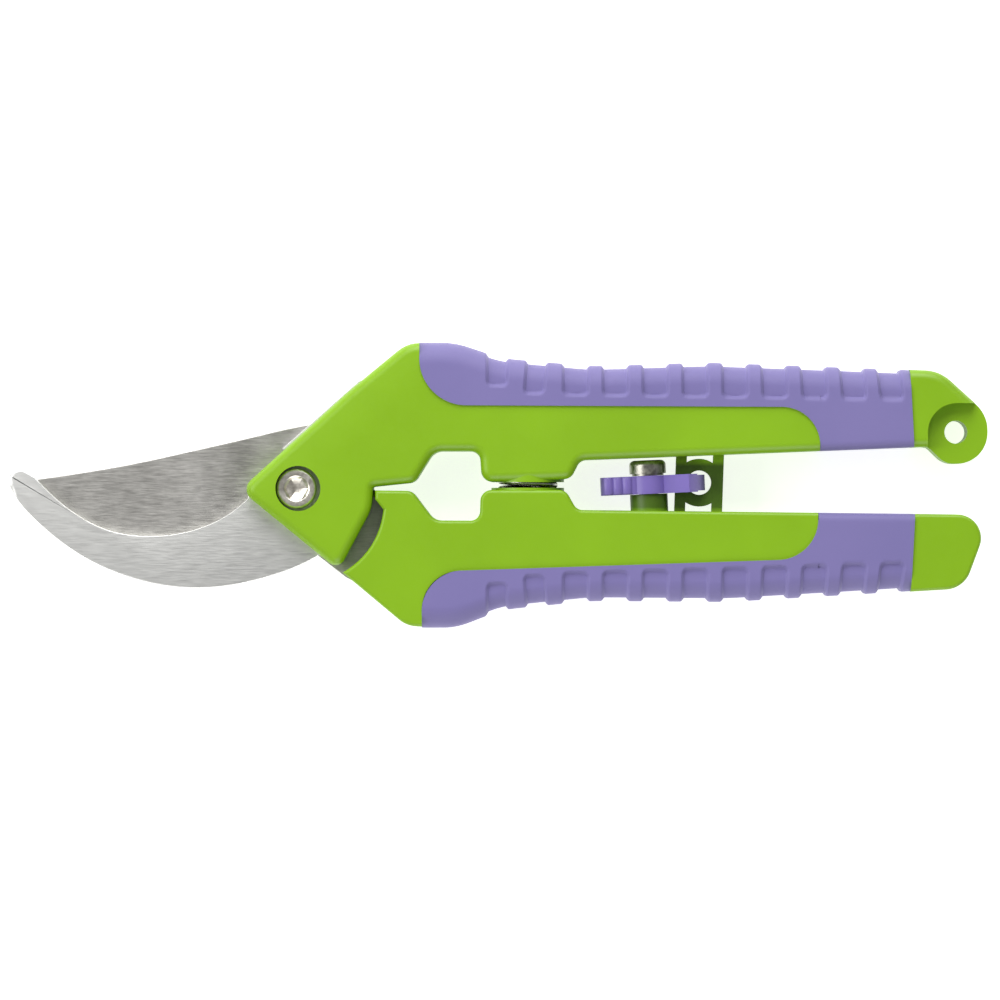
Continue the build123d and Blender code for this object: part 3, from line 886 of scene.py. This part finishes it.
def section(run: np.ndarray, inner: np.ndarray, outer: np.ndarray, half: float,
            finger_r: float, palm_r: float) -> tuple:
    """Follows half a rounded rectangle from the middle of the finger side to the palm's.

    Args:
        run: distance along the section.
        inner: where the finger side is.
        outer: where the palm side is.
        half: half the thickness.
        finger_r: radius of the finger corner.
        palm_r: radius of the palm corner.

    Returns:
        Place and outward direction at each distance: y, z, ny, nz.
    """
    wall = half - finger_r
    bend = np.pi / 2 * finger_r
    face = (outer - palm_r) - (inner + finger_r)
    palm_bend = np.pi / 2 * palm_r
    a1 = np.clip((run - wall) / finger_r, 0, np.pi / 2)
    a2 = np.clip((run - wall - bend - face) / palm_r, 0, np.pi / 2)
    on_face = np.clip(run - wall - bend, 0, face)
    on_side = np.clip(run - wall - bend - face - palm_bend, 0, None)
    y = inner + finger_r * (1 - np.cos(a1)) + on_face + palm_r * np.sin(a2)
    z = np.clip(run, 0, wall) + finger_r * np.sin(a1) - palm_r * (1 - np.cos(a2)) - on_side
    second = run > wall + bend
    ny = np.where(second, np.sin(a2), -np.cos(a1))
    nz = np.where(second, np.cos(a2), np.sin(a1))
    return y, z, ny, nz


# ---- spring --------------------------------------------------------------------------------
@dataclass
class ReturnSpring:
    """The compression spring: a round wire wound between the two cups, its ends closed."""

    radius: float = 5.5 * MM
    wire: float = 1.35 * MM
    turns: float = 8.0
    closed_turns: float = 1.1
    per_turn: int = 48
    round_wire: int = 12

    def build(self) -> bpy.types.Object:
        """Winds the wire: a circle about Y whose height rises slowly at both ends.

        Returns:
            The spring.
        """
        low, high = (np.array(corner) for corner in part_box("return_spring"))
        middle = (low + high) / 2
        base, top = low[1] + self.wire / 2, high[1] - self.wire / 2
        count = int(self.turns * self.per_turn) + 1
        turn = np.linspace(0, self.turns, count)
        slope = smooth_step(turn, 0.2, self.closed_turns) * smooth_step(
            self.turns - turn, 0.2, self.closed_turns)
        turned = 0.5 * (slope[1:] + slope[:-1]) @ np.diff(turn)
        tight = self.wire * 1.02
        rise = tight + slope * (top - base - tight * self.turns) / turned
        height = base + np.concatenate([[0], np.cumsum((rise[1:] + rise[:-1]) / 2 * np.diff(turn))])
        angle = 2 * np.pi * turn
        out = np.stack([np.cos(angle), np.zeros(count), np.sin(angle)], axis=1)
        path = out * self.radius
        path[:, 0] += middle[0]
        path[:, 1] = height
        path[:, 2] += middle[2]
        tangent = np.gradient(path, axis=0)
        tangent /= np.linalg.norm(tangent, axis=1, keepdims=True)
        across = np.cross(tangent, out)
        ring = np.linspace(0, 2 * np.pi, self.round_wire, endpoint=False)
        rings = (path[:, None, :] + self.wire / 2 * (
            np.cos(ring)[None, :, None] * out[:, None, :]
            + np.sin(ring)[None, :, None] * across[:, None, :]))
        spring = make_object("coil_spring", rings, ring_faces(count, self.round_wire),
                             Finish.SPRING_WIRE)
        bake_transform(spring)
        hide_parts("return_spring")
        return spring


# ---- fasteners -----------------------------------------------------------------------------
@dataclass
class Fasteners:
    """The pivot's socket-head bolt."""

    key_af: float = 4.0 * MM
    key_depth: float = 2.2 * MM
    count: int = 144

    def hexagon(self, angle: np.ndarray, flats: float) -> np.ndarray:
        """Distance from the middle to a hexagon's side at each angle.

        Args:
            angle: direction of each point.
            flats: distance across the flats.

        Returns:
            The distance at each angle.
        """
        return flats / 2 / np.cos((angle % (np.pi / 3)) - np.pi / 6)

    def bolt(self) -> bpy.types.Object:
        """Builds the bolt as rings from its thread's end, up and over the head, into the key.

        Returns:
            The bolt.
        """
        low, high = (np.array(corner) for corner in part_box("pivot_bolt"))
        angle = np.linspace(0, 2 * np.pi, self.count, endpoint=False)
        hexagon = self.hexagon(angle, self.key_af)
        under = high[2] - 3.3 * MM
        top = high[2]
        steps = [(2.2, low[2]), (2.5, low[2] + 0.3 * MM), (2.5, under - 6.8 * MM),
                 (3.0, under - 6.7 * MM), (3.0, under), (3.85, under), (4.05, under + 0.2 * MM)]
        for bend in np.linspace(0, np.pi / 2, 7):
            steps.append((4.05 - 0.55 * (1 - np.cos(bend)), top - 0.55 * MM * (1 - np.sin(bend))))
        rows = [(np.full(self.count, radius * MM), height) for radius, height in steps]
        rows.append((np.full(self.count, 2.75 * MM), top))
        rows.append((np.full(self.count, 2.55 * MM), top - 0.05 * MM))
        rows.append((np.maximum(hexagon, 2.33 * MM), top - 0.25 * MM))
        rows.append((hexagon, top - 0.5 * MM))
        rows.append((hexagon, top - self.key_depth + 0.1 * MM))
        rows.append((hexagon * 0.9, top - self.key_depth))
        rows.append((hexagon * 0.1, top - self.key_depth - 0.5 * MM))
        rings = []
        for radius, height in rows:
            ring = np.stack([np.cos(angle) * radius, np.sin(angle) * radius,
                             np.full(self.count, height)], axis=1)
            ring[:, :2] += PIVOT[:2]
            rings.append(ring)
        return make_object("socket_bolt", np.array(rings), ring_faces(len(rings), self.count),
                           Finish.NICKEL)

    def build(self) -> list[bpy.types.Object]:
        """Builds the bolt and says what it replaces.

        Returns:
            The bolt, in a list.
        """
        bolt = self.bolt()
        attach(bolt, "lower")
        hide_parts("pivot_bolt")
        return [bolt]


# ---- latch ---------------------------------------------------------------------------------
@dataclass
class ThumbRidges:
    """Fluted pads on both long edges of the latch's thumb tab.

    A pad is a block whose outer side follows the height of a row of half waves.
    """

    start: float = -9.2 * MM
    end: float = -3.4 * MM
    edge: float = 3.7 * MM
    height: float = 0.55 * MM
    waves: int = 3
    root: float = 0.6 * MM
    inset: float = 0.12 * MM
    steps: int = 90

    def build(self) -> bpy.types.Object:
        """Builds both pads on the lever and lets them ride with it.

        Returns:
            Both pads as one object.
        """
        joint = JOINTS["latch_turn"]
        axis = -np.array(joint["axis"])
        centre = np.array(joint["pos_m"])
        along = np.cross(axis, [0.0, 0.0, 1.0])
        low, high = self.lever_span(axis, centre)
        x = np.linspace(self.start, self.end, self.steps)
        share = (x - self.start) / (self.end - self.start)
        wave = np.abs(np.sin(np.pi * self.waves * share)) ** 0.6
        outer = self.edge + self.height * (0.15 + 0.85 * wave)
        inner = np.full_like(x, self.edge - self.root)
        points, faces = [], []
        for side in (1, -1):
            rings = []
            for height, flat in ((low + self.inset, 0.1), (low + 3 * self.inset, 0.0),
                                 (high - 3 * self.inset, 0.0), (high - self.inset, 0.1)):
                z = np.concatenate([outer - flat * MM, inner])
                ring = (np.concatenate([x, x[::-1]])[:, None] * along
                        + side * z[:, None] * np.array([0.0, 0.0, 1.0]) + height * axis)
                rings.append(centre + ring)
            count = 2 * self.steps
            made = np.array(ring_faces(4, count)[:-2])
            cap = np.stack([np.arange(self.steps - 1), np.arange(1, self.steps),
                            count - 2 - np.arange(self.steps - 1),
                            count - 1 - np.arange(self.steps - 1)], axis=-1)
            every = np.concatenate([made, cap[:, ::-1], cap + 3 * count])
            every = every[:, ::-1] if side < 0 else every
            faces += (every + len(points) * 4 * count).tolist()
            points.append(np.array(rings).reshape(-1, 3))
        pads = make_object("thumb_ridges", np.concatenate(points), faces, Finish.LILAC_NYLON, 50)
        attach(pads, "latch")
        return pads

    def lever_span(self, axis: np.ndarray, centre: np.ndarray) -> tuple[float, float]:
        """Reads the lever's thickness along the latch's axis.

        Args:
            axis: the latch's axis, a unit vector.
            centre: a place on it.

        Returns:
            The lowest and highest places along the axis.
        """
        mesh = frame["nodes"]["latch_lever"].data
        places = np.empty(len(mesh.vertices) * 3)
        mesh.vertices.foreach_get("co", places)
        height = (places.reshape(-1, 3) - centre) @ axis
        return float(height.min()), float(height.max())


# ---- pieces that keep their shape ----------------------------------------------------------
KEPT = {
    "upper_handle_body": Finish.GREEN_NYLON,
    "lower_handle_body": Finish.GREEN_NYLON,
    "pivot_washer": Finish.ZINC,
    "pivot_nut": Finish.ZINC,
    "pivot_nut_insert": Finish.NATURAL_NYLON,
    "latch_lever": Finish.LILAC_NYLON,
    "latch_screw": Finish.ZINC,
    "latch_washer": Finish.ZINC,
}


def dress_kept() -> None:
    """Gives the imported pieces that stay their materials."""
    for node, finish in KEPT.items():
        mesh = frame["nodes"][node].data
        mesh.materials.clear()
        mesh.materials.append(finish.material())
        log.info("dressed %s in %s", node, finish.value.name)


# ---- stage ---------------------------------------------------------------------------------
@dataclass
class Studio:
    """Pale floor, soft lights and the camera above."""

    view_width: float = 204.08 * MM
    look_at: tuple[float, float] = (41.53, -2.35)
    lens: float = 230.0
    sharp_above: float = 5.0 * MM
    sensor: float = 36.0
    floor_colour: str = "#DADAD8"
    floor_half: float = 3.0
    floor_glow: float = 0.8
    surround: float = 0.19
    nearest: float = 0.01
    farthest: float = 20.0

    def build(self) -> None:
        """Sets up the floor, world, lights and camera."""
        self.floor()
        self.world()
        self.lights()
        self.camera()
        bpy.context.scene.view_settings.view_transform = "Standard"

    def floor(self) -> None:
        """Lays a large pale floor under the pruner."""
        size = self.floor_half
        corners = np.array([[-size, -size, 0], [size, -size, 0], [size, size, 0],
                            [-size, size, 0]])
        mesh = bpy.data.meshes.new("floor")
        mesh.from_pydata(corners.tolist(), [], [[0, 1, 2, 3]])
        material, tree = new_material("matt_white_board")
        shader = add_node(tree, "ShaderNodeBsdfPrincipled", inputs={
            "Base Color": linear(self.floor_colour), "Roughness": 0.9,
            "Emission Color": (1.0, 1.0, 1.0, 1.0), "Emission Strength": self.floor_glow})
        add_node(tree, "ShaderNodeOutputMaterial", inputs={"Surface": shader.outputs[0]})
        mesh.materials.append(material)
        floor = bpy.data.objects.new("floor", mesh)
        bpy.context.scene.collection.objects.link(floor)

    def world(self) -> None:
        """Makes an even white surround."""
        world = bpy.data.worlds.new("white_surround")
        world.use_nodes = True
        world.node_tree.nodes["Background"].inputs["Color"].default_value = (1, 1, 1, 1)
        world.node_tree.nodes["Background"].inputs["Strength"].default_value = self.surround
        bpy.context.scene.world = world

    def lights(self) -> None:
        """Hangs three soft panels, each facing the pruner."""
        panels = (("upper_panel", (0.0, 0.8, 0.55), 0.8, 10.6),
                  ("left_panel", (-0.8, 0.15, 0.6), 0.6, 5.0),
                  ("lower_panel", (0.1, -0.85, 0.5), 0.7, 4.8))
        for name, place, size, power in panels:
            lamp = bpy.data.lights.new(name, "AREA")
            lamp.size = size
            lamp.energy = power
            thing = bpy.data.objects.new(name, lamp)
            bpy.context.scene.collection.objects.link(thing)
            thing.location = place
            direction = np.array(place)
            thing.rotation_euler = (
                math.acos(direction[2] / np.linalg.norm(direction)), 0.0,
                math.atan2(direction[1], direction[0]) + math.pi / 2)

    def camera(self) -> None:
        """Puts a long lens straight above, wide enough for the whole tool."""
        data = bpy.data.cameras.new("camera")
        data.lens = self.lens
        data.sensor_width = self.sensor
        camera = bpy.data.objects.new("camera", data)
        bpy.context.scene.collection.objects.link(camera)
        distance = self.view_width * self.lens / self.sensor
        camera.location = (*on_pivot(*self.look_at)[:2], PIVOT[2] + self.sharp_above + distance)
        camera.rotation_euler = (0.0, 0.0, 0.0)
        data.clip_start = self.nearest
        data.clip_end = self.farthest
        bpy.context.scene.camera = camera


GRIPS = [
    Grip("upper_rubber", "upper", 1,
         palm=[(20.0, 29.8), (32.3, 29.8), (42.0, 26.6), (60.0, 25.0), (84.0, 25.75),
               (140.0, 23.67)],
         finger=[(15.0, 4.08), (140.0, 8.94)], edge=17.0, edge_slope=-0.005, start=25.1,
         wrap=106.77, first_ends=(21.1, 19.5), window_near=19.2, window_far=18.3,
         wrap_r=7.8),
    Grip("lower_rubber", "lower", -1,
         palm=[(20.0, -28.45), (32.6, -28.45), (42.0, -24.8), (60.0, -23.0), (88.0, -23.2),
               (140.0, -20.18)],
         finger=[(15.0, -3.92), (140.0, -5.33)], edge=-17.0, edge_slope=0.0334, start=25.6,
         wrap=106.37, first_ends=(-19.5, -17.9), window_near=-17.3, window_far=-15.4,
         start_r=8.0, wrap_r=8.0),
]


def main() -> None:
    """Builds everything in order."""
    logging.basicConfig(level=logging.INFO, format="%(message)s")
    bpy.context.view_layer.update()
    Studio().build()
    dress_kept()
    for grip in GRIPS:
        made = grip.build()
        log.info("%s: %d faces", made.name, len(made.data.polygons))
    for made in (*Jaws().build(), ReturnSpring().build(), *Fasteners().build(),
                 ThumbRidges().build()):
        log.info("%s: %d faces", made.name, len(made.data.polygons))


if __name__ == "__main__":
    main()
